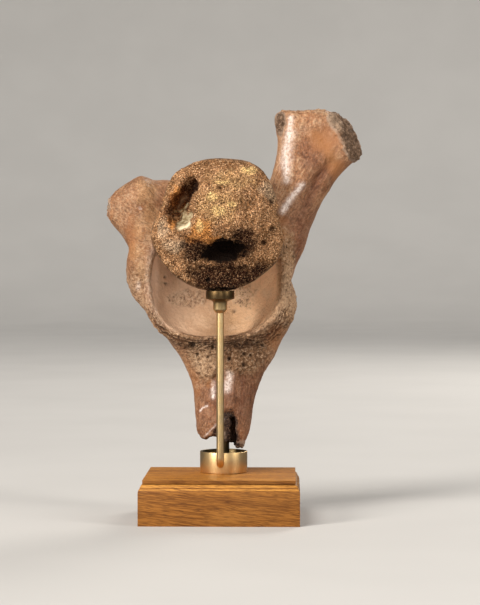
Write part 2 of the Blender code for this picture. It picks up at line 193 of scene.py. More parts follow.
def streaks(points, lines, wander):
    """Soft bands along lines of (X, Z) corners, each line with its half-width."""
    return np.max([bell(beside_path(points, path) + wander, half) for path, half in lines], axis=0)


def blots(points, patches, wobble, start=0.55, end=1.35):
    """Patches on the front with uneven edges: full up to start and gone at end, as shares of their size."""
    away = [np.linalg.norm((points[:, [0, 2]] - patch[:2]) / patch[2:], axis=1) for patch in patches]
    return 1 - step(start, end, np.min(away, axis=0) + wobble * 0.45)


def pitted(points, pits, end):
    """Small round pits on the front; 1 where one is 4 mm deep."""
    made = []
    for x, z, half, depth in pits:
        away = np.hypot(points[:, 0] - x, points[:, 2] - z) / half
        made.append((1 - step(0.6, end, away)) * depth / 4)
    return np.max(made, axis=0)


def within(points, areas, wobble):
    """How far inside the nearest of some stretched balls each point is, 0 to 1."""
    away = [np.linalg.norm((points - area[:3]) / area[3:], axis=1) for area in areas]
    return 1 - step(0.72, 1.18, np.min(away, axis=0) + 0.30 * wobble)


def cup_space(points):
    """Each point in the cup's own round space: radius from its axis, height along it, depth into its wall."""
    centre, axis = np.array(CUP_CENTRE), np.array(CUP_AXIS)
    up_way = np.array((0.0, math.sin(CUP_TILT), math.cos(CUP_TILT)))
    across, up, ahead = points[:, 0] - centre[0], (points - centre) @ up_way, (points - centre) @ axis
    across = across / np.where(across > 0, CUP_WIDER_RIGHT, CUP_WIDER_LEFT)
    away = np.maximum(np.hypot(across, up), 1e-6)
    power = CUP_SQUARE - CUP_SQUARE_CHANGE * up / away
    grow = (np.abs(across / away) ** power + np.abs(up / away) ** power) ** (-1 / power)
    radius = away / grow
    return radius, ahead, np.hypot(radius, ahead - BALL_AHEAD) - BALL_RADIUS


def round_place(low, high):
    """Middle X, middle Y and radius of an upright round part, from the corners of its box."""
    return (low.x + high.x) / 2, (low.y + high.y) / 2, (high.x - low.x) / 2


def finish_piece(thing, slot_name, *nodes):
    """Hangs a finished piece on the frame in place of its CAD nodes."""
    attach(thing, "root")
    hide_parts(*nodes)


def add_thing(name, data):
    thing = bpy.data.objects.new(name, data)
    bpy.context.scene.collection.objects.link(thing)
    return thing


def thing_from(name, bm):
    mesh = bpy.data.meshes.new(name)
    bm.to_mesh(mesh)
    bm.free()
    return add_thing(name, mesh)


def new_piece(name, bm, angle=35):
    """Makes a piece from a bmesh: doubles merged, normals out, round parts shaded smooth."""
    bmesh.ops.remove_doubles(bm, verts=bm.verts, dist=1e-6)
    bmesh.ops.recalc_face_normals(bm, faces=bm.faces)
    thing = thing_from(name, bm)
    thing.data.shade_smooth()
    thing.data.set_sharp_from_angle(angle=math.radians(angle))
    return thing


def read_vertices(mesh):
    """Places and normals of all vertices, one row each."""
    for source, key in ((mesh.vertices, "co"), (mesh.vertex_normals, "vector")):
        values = np.zeros(len(mesh.vertices) * 3)
        source.foreach_get(key, values)
        yield values.reshape(-1, 3)


def set_vertices(mesh, points):
    mesh.vertices.foreach_set("co", points.astype(np.float32).ravel())
    mesh.update()


def set_masks(mesh, masks, domain="POINT"):
    """Stores named values on the mesh, for its material to read."""
    for name, values in masks.items():
        attribute = mesh.attributes.new(name, "FLOAT", domain)
        attribute.data.foreach_set("value", values.astype(np.float32))


def fine_skin(node, name, spacing, rounds):
    """An even, fine copy of a CAD node's mesh, with its facets smoothed away."""
    bm = bmesh.new()
    bm.from_mesh(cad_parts[node].data)
    bmesh.ops.remove_doubles(bm, verts=bm.verts, dist=1e-5)
    thing = thing_from(name, bm)
    remesh = thing.modifiers.new("even mesh", "REMESH")
    remesh.mode = "VOXEL"
    remesh.voxel_size = spacing
    smooth = thing.modifiers.new("soften", "SMOOTH")
    smooth.factor = 0.5
    smooth.iterations = rounds
    graph = bpy.context.evaluated_depsgraph_get()
    mesh = bpy.data.meshes.new_from_object(thing.evaluated_get(graph))
    thing.modifiers.clear()
    thing.data = mesh
    mesh.shade_smooth()
    return thing


# Shader helpers

class Shades:
    """Short ways to add nodes to one node tree; inputs are values or other nodes' outputs."""

    def __init__(self, tree):
        self.tree = tree

    def plug(self, socket, value):
        if isinstance(value, bpy.types.NodeSocket):
            self.tree.links.new(value, socket)
        elif socket.type == "RGBA":
            socket.default_value = (*value[:3], 1.0)
        else:
            socket.default_value = value

    def add(self, kind, inputs, **settings):
        """Adds a node, with its inputs by name or by number, and gives its outputs."""
        made = self.tree.nodes.new("ShaderNode" + kind)
        for key, value in settings.items():
            setattr(made, key, value)
        for key, value in inputs.items():
            self.plug(made.inputs[key], value)
        return made.outputs

    def maths(self, operation, a, b=0.0, clamp=False):
        return self.add("Math", {0: a, 1: b}, operation=operation, use_clamp=clamp)[0]

    plus = partialmethod(maths, "ADD")
    minus = partialmethod(maths, "SUBTRACT")
    times = partialmethod(maths, "MULTIPLY")
    most = partialmethod(maths, "MAXIMUM")

    def vectors(self, operation, *inputs):
        return self.add("VectorMath", dict(enumerate(inputs)), operation=operation)[0]

    def scaled(self, vector, share):
        return self.add("VectorMath", {0: vector, "Scale": share}, operation="SCALE")[0]

    def length(self, vector):
        return self.add("VectorMath", {0: vector}, operation="LENGTH")["Value"]

    def joined(self, x=0.0, y=0.0, z=0.0):
        return self.add("CombineXYZ", {0: x, 1: y, 2: z})[0]

    def part(self, vector, number):
        return self.add("SeparateXYZ", {0: vector})[number]

    def blend(self, amount, below, above, kind="MIX"):
        return self.add("Mix", {0: amount, 6: below, 7: above}, data_type="RGBA", blend_type=kind)[2]

    def layers(self, tone, *coats):
        """Lays tints over a tone in turn: how much, which tint and, where it isn't plain, how it mixes."""
        for amount, tint, *kind in coats:
            tone = self.blend(amount, tone, tint, *kind)
        return tone

    def span(self, value, low, high, to_low=0.0, to_high=1.0):
        """Maps low..high to to_low..to_high, held at the ends."""
        ends = {"From Min": low, "From Max": high, "To Min": to_low, "To Max": to_high}
        return self.add("MapRange", {"Value": value, **ends}, interpolation_type="SMOOTHSTEP")[0]

    def place(self):
        return self.add("TexCoord", {})["Object"]

    def moved(self, vector, scale=(1, 1, 1), turn=(0, 0, 0), shift=(0, 0, 0)):
        return self.add("Mapping", {"Vector": vector, "Scale": scale, "Rotation": turn, "Location": shift})[0]

    def clouds(self, vector, scale, detail=4.0, roughness=0.55):
        inputs = {"Vector": vector, "Scale": scale, "Detail": detail, "Roughness": roughness}
        return self.add("TexNoise", inputs)["Fac"]

    def mask(self, name, share=None):
        """A mask stored on the mesh, times a share where one is given."""
        value = self.add("Attribute", {}, attribute_name=name)["Fac"]
        return value if share is None else self.times(value, share)

    def bump(self, height, distance, strength=1.0):
        return self.add("Bump", {"Height": height, "Distance": distance, "Strength": strength})[0]

    def group(self, build, *values):
        """Uses a shared node group, with values for its inputs in order."""
        made = self.tree.nodes.new("ShaderNodeGroup")
        made.node_tree = shared_group(build)
        for socket, value in zip(made.inputs, values):
            self.plug(socket, value)
        return made.outputs

    def dress(self, inputs):
        """Sets the shader's own inputs by name."""
        for name, value in inputs.items():
            self.plug(self.tree.nodes["Principled BSDF"].inputs[name], value)


def bone_pores(s, place, scale, amount):
    """Open pores in spongy bone: Pits is 1 in a pore, Height falls into it."""
    wobble = s.add("TexNoise", {"Vector": place, "Scale": 300.0, "Detail": 2.0})["Color"]
    near = s.vectors("ADD", place, s.scaled(wobble, 0.0016))
    away = s.add("TexVoronoi", {"Vector": near, "Scale": scale})["Distance"]
    edge = s.minus(s.plus(s.times(amount, 0.62), s.times(s.clouds(place, 90.0, 3.0), 0.30)), 0.16)
    depth = s.maths("DIVIDE", s.minus(edge, away), 0.16, clamp=True)
    return {"Pits": depth, "Height": s.minus(1.0, depth)}


def bone_grains(s, place, scale):
    """Granular bone: Height in lumps of two sizes, Dark in the gaps and Light on the grains."""
    coarse = s.clouds(place, scale, 2.0, 0.6)
    fine = s.clouds(place, s.times(scale, 2.7), 2.0, 0.6)
    height = s.plus(s.times(coarse, 0.72), s.times(fine, 0.28))
    dark, light = s.span(height, 0.38, 0.49, 1.0, 0.0), s.span(height, 0.50, 0.64)
    return {"Height": height, "Dark": dark, "Light": light}


def bone_fibres(s, place, fineness, length):
    """Fine lines that run outwards from the cup along each limb of the bone."""
    flat = s.vectors("ADD", place, (-CUP_CENTRE.x, 0.0, -CUP_CENTRE.z))
    flat = s.vectors("MULTIPLY", flat, (1.0, 0.0, 1.0))
    heading = s.scaled(s.vectors("NORMALIZE", flat), 0.16)
    across = s.vectors("ADD", heading, s.joined(y=s.part(place, 1)))
    run = s.times(s.length(flat), length)
    where = s.vectors("ADD", s.scaled(across, fineness), s.joined(run, run))
    return {"Lines": s.clouds(where, 6.0, 5.0, 0.6)}


# Inputs of the shared node groups
GROUP_INPUTS = {
    bone_pores: ("Vector", "Scale", "Amount"),
    bone_grains: ("Vector", "Scale"),
    bone_fibres: ("Vector", "Fineness", "Length"),
}


def shared_group(build):
    """The node group that a function builds, made once and then used again."""
    name = build.__name__.replace("_", " ")
    if name in bpy.data.node_groups:
        return bpy.data.node_groups[name]
    group = bpy.data.node_groups.new(name, "ShaderNodeTree")
    labels = GROUP_INPUTS[build]
    for label in labels:
        kind = "NodeSocketVector" if label == "Vector" else "NodeSocketFloat"
        group.interface.new_socket(label, in_out="INPUT", socket_type=kind)
    start, end = group.nodes.new("NodeGroupInput"), group.nodes.new("NodeGroupOutput")
    s = Shades(group)
    for label, value in build(s, *start.outputs[:len(labels)]).items():
        group.interface.new_socket(label, in_out="OUTPUT", socket_type="NodeSocketFloat")
        s.plug(end.inputs[label], value)
    return group


def material(name):
    made = bpy.data.materials.new(name)
    made.use_nodes = True
    return made, Shades(made.node_tree)


# Finishes

def wood_finish(settings):
    """Honey-coloured wood with its grain along X and end grain on the two short sides, with painted light on
    the moulding and the slab's top and painted shadow under the slab.
    """
    made, s = material("honey_wood")
    place = s.place()
    sway = s.clouds(s.moved(place, (6, 30, 30)), 1.0, 2.0)
    grain_tilt = math.radians(-6)
    tilted = s.moved(place, turn=(0, grain_tilt, 0))
    bent = s.vectors("ADD", tilted, s.joined(0.0, s.times(sway, 0.01), s.times(sway, 0.014)))
    bands = s.clouds(s.moved(bent, (5, 90, 90)), 1.0, 3.0, 0.5)
    lines = s.clouds(s.moved(bent, (30, 1100, 1100)), 1.0, 4.0, 0.6)
    ticks = s.clouds(s.moved(bent, (90, 1500, 1500)), 1.0, 1.0, 0.5)
    tone = s.plus(s.times(bands, 0.28), s.times(lines, 0.72))
    patches = s.clouds(s.moved(place, (9, 22, 22)), 1.0, 2.0)
    long_grain = s.layers(
        s.blend(s.span(tone, 0.41, 0.57), settings.dark_colour, settings.light_colour),
        (s.span(ticks, 0.54, 0.66, 0.0, 0.72), (0.085, 0.028, 0.006)),
        (s.span(patches, 0.45, 0.75, 0.0, 0.40), (0.36, 0.16, 0.038)),
    )
    from_heart = s.vectors("ADD", s.vectors("MULTIPLY", place, (0.0, 1.0, 1.0)), (0.0, 0.035, 0.11))
    sway_end = s.clouds(s.moved(place, (0, 26, 26)), 1.0, 3.0)
    ring = s.maths("SINE", s.plus(s.times(s.length(from_heart), 1500.0), s.times(sway_end, 9.0)))
    end_grain = s.layers(
        s.blend(s.span(ring, -0.8, 0.9), settings.dark_colour, (0.235, 0.096, 0.021)),
        (s.span(ticks, 0.52, 0.66, 0.0, 0.5), (0.09, 0.03, 0.007)),
    )
    colour = s.layers(
        long_grain,
        (s.mask("end_grain"), end_grain),
        # Painted light on the moulding's upward faces (paler), painted shadow under the slab and on its face
        # (darker), and painted light on the slab's top
        (s.mask("paler"), (1.78, 2.02, 2.05), "MULTIPLY"),
        (s.mask("darker"), (0.55, 0.47, 0.40), "MULTIPLY"),
        (s.mask("slab_top_painted_light"), (1.66, 1.76, 1.66), "MULTIPLY"),
    )
    height = s.minus(lines, s.span(ticks, 0.60, 0.72, 0.0, 0.8))
    s.dress({
        "Base Color": colour, "Roughness": s.span(lines, 0.3, 0.7, 0.44, 0.58),
        "Normal": s.bump(height, 0.00012, 0.6), "Specular IOR Level": 0.16,
    })
    return made


def brass_finish(settings):
    """Satin brass with faint turning marks, with painted shade inside the collar and on the post, and painted
    shadow and dark reflection on the ferrule under the head.
    """
    made, s = material("satin_brass")
    place = s.place()
    turning = s.clouds(s.moved(place, (40, 40, 4200)), 1.0, 2.0)
    cloudy = s.clouds(place, 70.0, 4.0)
    specks = s.clouds(place, 900.0, 2.0)
    x, y, outer = round_place(COLLAR_LOW, COLLAR_HIGH)
    inside, fade = outer - 0.0008, 0.0006
    apart = s.length(s.vectors("MULTIPLY", s.vectors("SUBTRACT", place, (x, y, 0.0)), (1.0, 1.0, 0.0)))
    # Painted shadow of the head and painted dark reflection on the ferrule's upper part
    ferrule_painted_shade = s.span(s.part(place, 2), FERRULE_HIGH.z - 0.024, FERRULE_HIGH.z - 0.005, 0.0, 0.95)
    colour = s.layers(
        settings.colour,
        (s.span(cloudy, 0.40, 0.70, 0.0, 0.5), (0.68, 0.43, 0.16)),
        (s.span(specks, 0.68, 0.78, 0.0, 0.5), (0.35, 0.20, 0.08)),
        # Painted shade inside the collar and on the post
        (s.span(apart, inside, inside - fade, 0.0, 0.88), (0.075, 0.052, 0.022)),
        (ferrule_painted_shade, (0.08, 0.046, 0.018)),
    )
    roughness = s.plus(s.span(cloudy, 0.3, 0.7, 0.31, 0.41), s.span(turning, 0.3, 0.7, 0.0, 0.06))
    s.dress({
        "Base Color": colour, "Roughness": roughness,
        "Normal": s.bump(turning, 0.00003, 0.5), "Metallic": 1.0,
    })
    return made


def head_finish(settings):
    """Spongy bone in front, with painted shade in its pores, pits, crescent and lower part and painted shadow
    in its hollow, and stained in patches; smooth bone behind.
    """
    made, s = material("spongy_head_bone")
    place = s.place()
    pores, grains = s.group(bone_pores, place, 480.0, 0.44), s.group(bone_grains, place, 620.0)
    mottle = s.clouds(place, 60.0, 5.0, 0.6)
    cloudy = s.clouds(s.moved(place, shift=(0.2, 0.5, 0.1)), 110.0, 4.0, 0.65)
    speck = s.clouds(s.moved(place, shift=(0.4, 0.1, 0.3)), 760.0, 2.0)
    stains = s.clouds(place, 260.0, 3.0)
    rough, channel = s.mask("rough"), s.mask("channel")
    light = s.times(grains["Light"], s.span(cloudy, 0.36, 0.62, 0.48, 0.86))
    gaps = s.times(grains["Dark"], s.span(cloudy, 0.35, 0.6, 0.55, 1.0))
    # Painted shade in the open pores, the gaps between grains and the pits
    hollow = s.most(s.times(s.most(pores["Pits"], gaps), rough), s.mask("pit"))
    # Painted shade over the head's lower part and in patches, leaving the grains' tops lighter
    head_shade_amount = s.times(s.mask("head_painted_shade"), s.span(grains["Height"], 0.48, 0.62, 1.0, 0.66))
    # Painted shade in the crescent, tinted reddish-brown like its wall, leaving the grains' tops lighter
    crescent_shade = s.times(s.mask("crescent_shade"), s.span(grains["Height"], 0.50, 0.64, 1.0, 0.75))
    shelf = s.blend(s.span(stains, 0.38, 0.60), (0.20, 0.14, 0.068), (0.42, 0.34, 0.205))
    shelf = s.blend(s.mask("edge"), shelf, (0.84, 0.65, 0.43))
    spongy = s.layers(
        s.blend(s.span(mottle, 0.36, 0.64), (0.24, 0.108, 0.04), settings.tan_colour),
        (light, (0.88, 0.575, 0.33)),
        (s.mask("rust", 0.70), (0.68, 0.27, 0.06)),
        (s.mask("yellow", 0.62), (0.95, 0.65, 0.27)),
        (s.mask("pale", 0.36), (0.78, 0.61, 0.42)),
        (s.times(hollow, 0.94), settings.dark_colour),
        (s.span(cloudy, 0.48, 0.33, 0.0, 0.50), (0.12, 0.055, 0.024)),
        (1.0, s.span(speck, 0.34, 0.66, 0.42, 1.56), "MULTIPLY"),
        (head_shade_amount, (0.08, 0.04, 0.022), "MULTIPLY"),
        (crescent_shade, (0.17, 0.075, 0.022), "MULTIPLY"),
        (channel, shelf),
        # Painted shadow in the hollow under the boss, along the bottom and on the crescent's right side
        (s.mask("head_painted_shadow"), (0.009, 0.004, 0.002)),
    )
    cap = s.blend(s.span(mottle, 0.35, 0.7), (0.175, 0.095, 0.05), (0.26, 0.155, 0.083))
    height = s.plus(s.times(pores["Height"], 0.5), grains["Height"])
    height = s.times(height, s.span(rough, 0.0, 1.0, 0.12, 1.0))
    height = s.times(height, s.span(channel, 0.0, 1.0, 1.0, 0.25))
    s.dress({
        "Base Color": s.blend(rough, cap, spongy), "Roughness": s.span(rough, 0.0, 1.0, 0.38, 0.88),
        "Normal": s.bump(height, 0.0030), "Specular IOR Level": 0.12,
    })
    return made


def pelvis_finish(settings):
    """Worn brown bone with rust stains and fibres, paler and porous where it is rough or broken, with painted
    shade on its shaded side, in its hollows and under the rim, and painted highlights along polished streaks.
    """
    made, s = material("worn_pelvis_bone")
    place = s.place()
    fibres = s.group(bone_fibres, place, 60.0, 18.0)["Lines"]
    pores, grains = s.group(bone_pores, place, 430.0, 0.36), s.group(bone_grains, place, 300.0)
    light, dark = grains["Light"], grains["Dark"]
    mottle = s.clouds(place, 28.0, 5.0, 0.6)
    broad = s.clouds(s.moved(place, (1, 1, 0.6), shift=(0.7, 0.2, 0.5)), 14.0, 3.0, 0.6)
    cloudy = s.clouds(s.moved(place, shift=(0.3, 0.1, 0.2)), 60.0, 4.0, 0.6)
    speck = s.clouds(s.moved(place, shift=(0.4, 0.1, 0.3)), 520.0, 3.0)
    dots = s.clouds(s.moved(place, shift=(0.1, 0.3, 0.6)), 680.0, 2.0)
    rough, cup, end = s.mask("rough"), s.mask("cup"), s.mask("end")
    limb, porous = s.mask("limb"), s.mask("porous")
    stipple = s.span(grains["Height"], 0.40, 0.58, 0.35, 0.90)
    outside = s.layers(
        s.blend(s.span(mottle, 0.40, 0.66), settings.bone_colour, settings.rust_colour),
        (s.times(s.span(fibres, 0.50, 0.62, 0.0, 0.60), limb), (0.48, 0.29, 0.16)),
        (s.times(s.span(fibres, 0.47, 0.37, 0.0, 0.60), limb), (0.135, 0.062, 0.03)),
        (s.span(cloudy, 0.50, 0.72, 0.0, 0.45), (0.50, 0.33, 0.205)),
        (s.span(cloudy, 0.46, 0.30, 0.0, 0.50), (0.165, 0.078, 0.038)),
        (s.times(light, 0.22), (0.62, 0.42, 0.27)),
        (s.times(dark, 0.20), (0.12, 0.056, 0.027)),
        (s.span(broad, 0.40, 0.62), (1.22, 1.26, 1.30), "MULTIPLY"),
        (s.span(broad, 0.48, 0.34, 0.0, 0.8), (0.72, 0.62, 0.56), "MULTIPLY"),
        (s.mask("glow", 0.28), (0.62, 0.365, 0.17)),
        (1.0, s.span(speck, 0.32, 0.68, 0.76, 1.18), "MULTIPLY"),
        # Painted shade on the lower shaft, the right side, the broken limb's face and along creases
        (s.mask("deep"), (0.55, 0.43, 0.40), "MULTIPLY"),
        (s.mask("gold", 0.60), (0.345, 0.148, 0.046)),
        # Polished streaks, pale partly from polish and partly as painted highlights, and painted highlights
        # on the cup's lips
        (s.times(s.mask("worn"), stipple), (0.88, 0.76, 0.69)),
    )
    side = s.part(place, 0)
    # The cup's tone: lighter and greyer on the left, partly its grey colour and partly painted light on the
    # shaded left wall; painted light on the right wall, where the head casts shade, and along the left edge
    cup_tone_and_painted_light = s.layers(
        s.blend(s.span(side, -0.085, 0.03), (0.70, 0.47, 0.32), (0.40, 0.226, 0.108)),
        (s.span(side, -0.004, 0.036), (1.0, 0.65, 0.385)),
        (s.span(cloudy, 0.40, 0.68, 0.0, 0.4), (0.76, 0.55, 0.37)),
        (s.times(porous, 0.30), (0.34, 0.215, 0.125)),
        (s.times(light, s.times(porous, 0.6)), (0.84, 0.64, 0.47)),
        (s.times(dark, s.span(porous, 0.0, 1.0, 0.10, 0.80)), (0.15, 0.085, 0.048)),
        (s.span(side, -0.07, -0.076, 0.0, 0.8), (1.0, 0.75, 0.57)),
    )
    rough_tone = s.layers(
        s.blend(s.span(cloudy, 0.35, 0.65), (0.27, 0.145, 0.072), settings.pale_colour),
        # Painted shade under the rim's lip
        (s.mask("brown", 0.65), (0.18, 0.086, 0.04)),
        (s.mask("pale", 0.80), (0.50, 0.318, 0.188)),
        (s.times(light, 0.55), (0.72, 0.50, 0.33)),
        (s.times(dark, 0.64), (0.085, 0.042, 0.021)),
    )
    end_tone = s.layers(
        (0.158, 0.094, 0.056),
        (s.times(light, 0.70), (0.40, 0.268, 0.182)),
        (s.times(dark, 0.75), (0.05, 0.032, 0.02)),
        (s.mask("pale", 0.55), (0.47, 0.335, 0.23)),
    )
    border = s.times(s.times(end, s.minus(1.0, end)), 1.5)
    layer = s.maths("SINE", s.times(s.plus(s.mask("layer"), s.times(cloudy, 5.0)), 2.4))
    layer = s.times(s.span(layer, -0.1, 0.8), s.mask("layered"))
    spread = s.most(rough, s.most(end, s.times(cup, s.span(porous, 0.0, 1.0, 0.04, 0.50))))
    pits = s.most(s.times(pores["Pits"], spread), s.mask("pit"))
    # Painted shade in the broken hollow at the foot, with specks of tan spongy bone
    foot_hollow_shade_tone = s.blend(s.span(dots, 0.52, 0.64, 0.0, 0.75), (0.022, 0.009, 0.006), (0.19, 0.105, 0.056))
    colour = s.layers(
        outside,
        (s.times(cup, 0.92), cup_tone_and_painted_light),
        (rough, rough_tone),
        (s.times(end, 0.95), end_tone),
        (border, (0.60, 0.45, 0.34)),
        (s.mask("rust", 0.50), (0.36, 0.145, 0.05)),
        (s.times(layer, 0.85), (0.42, 0.29, 0.21), "MULTIPLY"),
        # Painted shade in pores, pits, the groove under the lip and other hollows
        (s.times(pits, 0.92), (0.03, 0.016, 0.009)),
        (s.mask("foot_hollow_shade"), foot_hollow_shade_tone),
    )
    coarse = s.plus(s.times(pores["Height"], 0.5), grains["Height"])
    height = s.plus(s.times(coarse, s.plus(spread, 0.34)), s.times(s.times(fibres, limb), 0.60))
    height = s.minus(height, s.times(layer, 0.5))
    matt = s.most(spread, s.times(cup, 0.30))
    roughness = s.maths("ADD", s.span(cloudy, 0.3, 0.7, 0.40, 0.56), s.times(matt, 0.42), clamp=True)
    s.dress({
        "Base Color": colour, "Roughness": s.minus(roughness, s.mask("worn", 0.16)),
        "Normal": s.bump(height, 0.0034), "Specular IOR Level": 0.28,
    })
    return made


# Pieces

def turned(bm, profile, x, y, steps):
    """Spins (radius, height) points about an upright axis through x, y."""
    points = [bm.verts.new((x + radius, y, height)) for radius, height in profile]
    edges = [bm.edges.new(pair) for pair in zip(points, points[1:])]
    bmesh.ops.spin(
        bm, geom=points + edges, axis=(0, 0, 1), cent=(x, y, 0), dvec=(0, 0, 0), angle=math.tau,
        steps=steps, use_merge=True,
    )
    bmesh.ops.remove_doubles(bm, verts=bm.verts, dist=1e-6)
    bmesh.ops.recalc_face_normals(bm, faces=bm.faces)


def soften_edges(bm, width, sharper_than):
    """Rounds every edge that is sharper than an angle in degrees."""
    limit = math.radians(sharper_than)
    sharp = [edge for edge in bm.edges if len(edge.link_faces) == 2 and edge.calc_face_angle() > limit]
    bmesh.ops.bevel(
        bm, geom=sharp, offset=width, offset_type="OFFSET", segments=3, profile=0.5,
        affect="EDGES", material=-1, clamp_overlap=True,
    )


def make_plinth(settings):
    """Block, ledge, quarter-round moulding and top slab, with slightly worn edges."""
    size = PLINTH_HIGH - PLINTH_LOW
    edge_run, edge_rise, ledge, step_up, overhang = 0.0026, 0.0042, 0.0004, 0.0008, 0.0012
    block = size.z - settings.moulding_height - settings.slab_height
    bm = bmesh.new()
    bmesh.ops.create_cube(
        bm, size=1.0,
        matrix=Matrix.Translation((0, 0, block / 2)) @ Matrix.Diagonal((size.x, size.y, block, 1.0)),
    )
    top = max(bm.faces, key=lambda face: face.calc_center_median().z)
    for run, rise in ((0.35, 0.62), (0.65, 0.38)):
        bmesh.ops.inset_region(bm, faces=[top], thickness=run * edge_run)
        bmesh.ops.translate(bm, verts=top.verts, vec=(0, 0, rise * edge_rise))
    bmesh.ops.inset_region(bm, faces=[top], thickness=ledge)
    reach = settings.slab_inset - ledge - edge_run
    rise = settings.moulding_height - step_up - edge_rise
    inset_before, height_before = 0.0, 0.0
    for turn in range(1, 11):
        angle = math.radians(9 * turn)
        inset, height = reach * (1 - math.cos(angle)), rise * math.sin(angle)
        bmesh.ops.inset_region(bm, faces=[top], thickness=max(inset - inset_before, 1e-5))
        bmesh.ops.translate(bm, verts=top.verts, vec=(0, 0, height - height_before))
        inset_before, height_before = inset, height
    for lift, widen in ((step_up, 0.0), (0.0, overhang), (settings.slab_height, 0.0)):
        made = bmesh.ops.extrude_discrete_faces(bm, faces=[top])
        top = made["faces"][0]
        half_x = max(abs(vert.co.x) for vert in top.verts)
        half_y = max(abs(vert.co.y) for vert in top.verts)
        bmesh.ops.scale(bm, vec=((half_x + widen) / half_x, (half_y + widen) / half_y, 1.0), verts=top.verts)
        bmesh.ops.translate(bm, verts=top.verts, vec=(0, 0, lift))
    bmesh.ops.recalc_face_normals(bm, faces=bm.faces)
    soften_edges(bm, 0.00045, sharper_than=40)
    plinth = new_piece("wood_plinth", bm)
    faces = plinth.data.polygons
    lie = np.array([tuple(face.normal) for face in faces])
    below_top = (PLINTH_HIGH.z - np.array([face.center.z for face in faces])) / MM
    under_slab = below_top - settings.slab_height / MM
    upright, outward = np.abs(lie[:, 2]) < 0.6, np.abs(lie[:, 0]) > 0.7
    on_moulding = (under_slab > 0.2) & (under_slab < settings.moulding_height / MM - 0.1)
    # Faces that get painted light (the moulding's upward faces and the slab's top) and painted shadow (under
    # the slab and, more faintly, on its face)
    masks = {
        "end_grain": outward & (under_slab > -settings.slab_height / MM),
        "paler": on_moulding & (lie[:, 2] > 0.3),
        "darker": (upright & (under_slab < 2.2) & ~(lie[:, 2] > 0.3)) * np.where(under_slab < 0, 0.35, 1.0),
        "slab_top_painted_light": (under_slab < 0) & (lie[:, 2] > 0.6),
    }
    set_masks(plinth.data, masks, "FACE")
    plinth.data.materials.append(wood_finish(settings))
    finish_piece(plinth, "wood", "plinth")


def turned_piece(name, profile, x, y, steps, rounding, sharper_than=30):
    bm = bmesh.new()
    turned(bm, profile, x, y, steps)
    soften_edges(bm, rounding, sharper_than)
    return new_piece(name, bm)


def make_collar(settings):
    """Short open cup with a floor."""
    x, y, outer = round_place(COLLAR_LOW, COLLAR_HIGH)
    floor_thickness = 0.004
    inner, floor = outer - settings.wall, COLLAR_LOW.z + floor_thickness
    profile = (
        (0.0, COLLAR_LOW.z), (outer, COLLAR_LOW.z), (outer, COLLAR_HIGH.z), (inner, COLLAR_HIGH.z),
        (inner, floor), (0.0, floor),
    )
    return turned_piece("collar_of_brass", profile, x, y, 128, rounding=0.0005)


def make_post():
    """Plain round bar."""
    x, y, radius = round_place(POST_LOW, POST_HIGH)
    profile = ((0.0, POST_LOW.z), (radius, POST_LOW.z), (radius, POST_HIGH.z), (0.0, POST_HIGH.z))
    return turned_piece("post_of_brass", profile, x, y, 48, rounding=0.0006)


def make_rod(settings):
    """Round bar that runs down from the ferrule, turns through the elbow and meets the collar."""
    radius = (ROD_HIGH.x - ROD_LOW.x) / 2
    x, y = (ROD_LOW.x + ROD_HIGH.x) / 2, ROD_LOW.y + radius
    foot, bend = ROD_LOW.z + radius, settings.elbow_radius
    bm = bmesh.new()
    bmesh.ops.create_circle(bm, segments=40, radius=radius, matrix=Matrix.Translation((x, y, ROD_HIGH.z)))
    ring = bm.edges[:]
    bmesh.ops.edgeloop_fill(bm, edges=ring)

    def pull(edges, vector, steps=1):
        for _ in range(steps):
            made = bmesh.ops.extrude_edge_only(bm, edges=edges)["geom"]
            edges = [item for item in made if isinstance(item, bmesh.types.BMEdge)]
            corners = {corner for edge in edges for corner in edge.verts}
            bmesh.ops.translate(bm, verts=list(corners), vec=Vector(vector) / steps)
        return edges

    ring = pull(ring, (0, 0, foot + bend - ROD_HIGH.z), 12)
    made = bmesh.ops.spin(
        bm, geom=ring, axis=(1, 0, 0), cent=(x, y + bend, foot + bend), dvec=(0, 0, 0),
        angle=math.radians(90), steps=14,
    )["geom_last"]
    ring = [item for item in made if isinstance(item, bmesh.types.BMEdge)]
    bmesh.ops.edgeloop_fill(bm, edges=pull(ring, (0, ROD_HIGH.y - (y + bend), 0)))
    return new_piece("rod_of_brass", bm)


def make_ferrule():
    """Sleeve with a tapered foot, a small lip, a cone and a broad flange."""
    x, y, flange = round_place(FERRULE_LOW, FERRULE_HIGH)
    neck, lip, foot = 0.0080, 0.0087, 0.0050
    flange_height, cone_height, foot_height, groove, lip_height = 0.0090, 0.0028, 0.0037, 0.0004, 0.0008
    under = FERRULE_HIGH.z - flange_height
    cone_foot = under - cone_height
    lip_foot = cone_foot - lip_height
    profile = (
        (0.0, FERRULE_LOW.z), (foot, FERRULE_LOW.z), (neck, FERRULE_LOW.z + foot_height),
        (neck, lip_foot - groove), (lip, lip_foot), (lip, cone_foot), (flange, under),
        (flange, FERRULE_HIGH.z), (0.0, FERRULE_HIGH.z),
    )
    return turned_piece("ferrule_of_brass", profile, x, y, 96, rounding=0.0004, sharper_than=20)


# Colour patches, and patches of painted shade and painted shadow, on the head's rough front: X, Z, half-width
# and half-height, in mm
YELLOW_PATCHES = (
    (-9, 365, 8, 5), (-1, 350, 9, 6), (5, 381, 8, 3), (-21, 332, 4, 8), (14, 357, 5, 3), (34, 396, 9, 5),
)
SAND_PATCHES = ((-3, 357, 24, 20), (14, 384, 24, 12))
RUST_PATCHES = ((-18, 327, 12, 13), (-8, 317, 10, 6), (-55, 335, 7, 6), (-48, 362, 8, 15), (-27, 320, 9, 6))
PALE_PATCHES = ((-51, 311, 12, 9), (58, 372, 12, 12), (-62, 330, 7, 12))
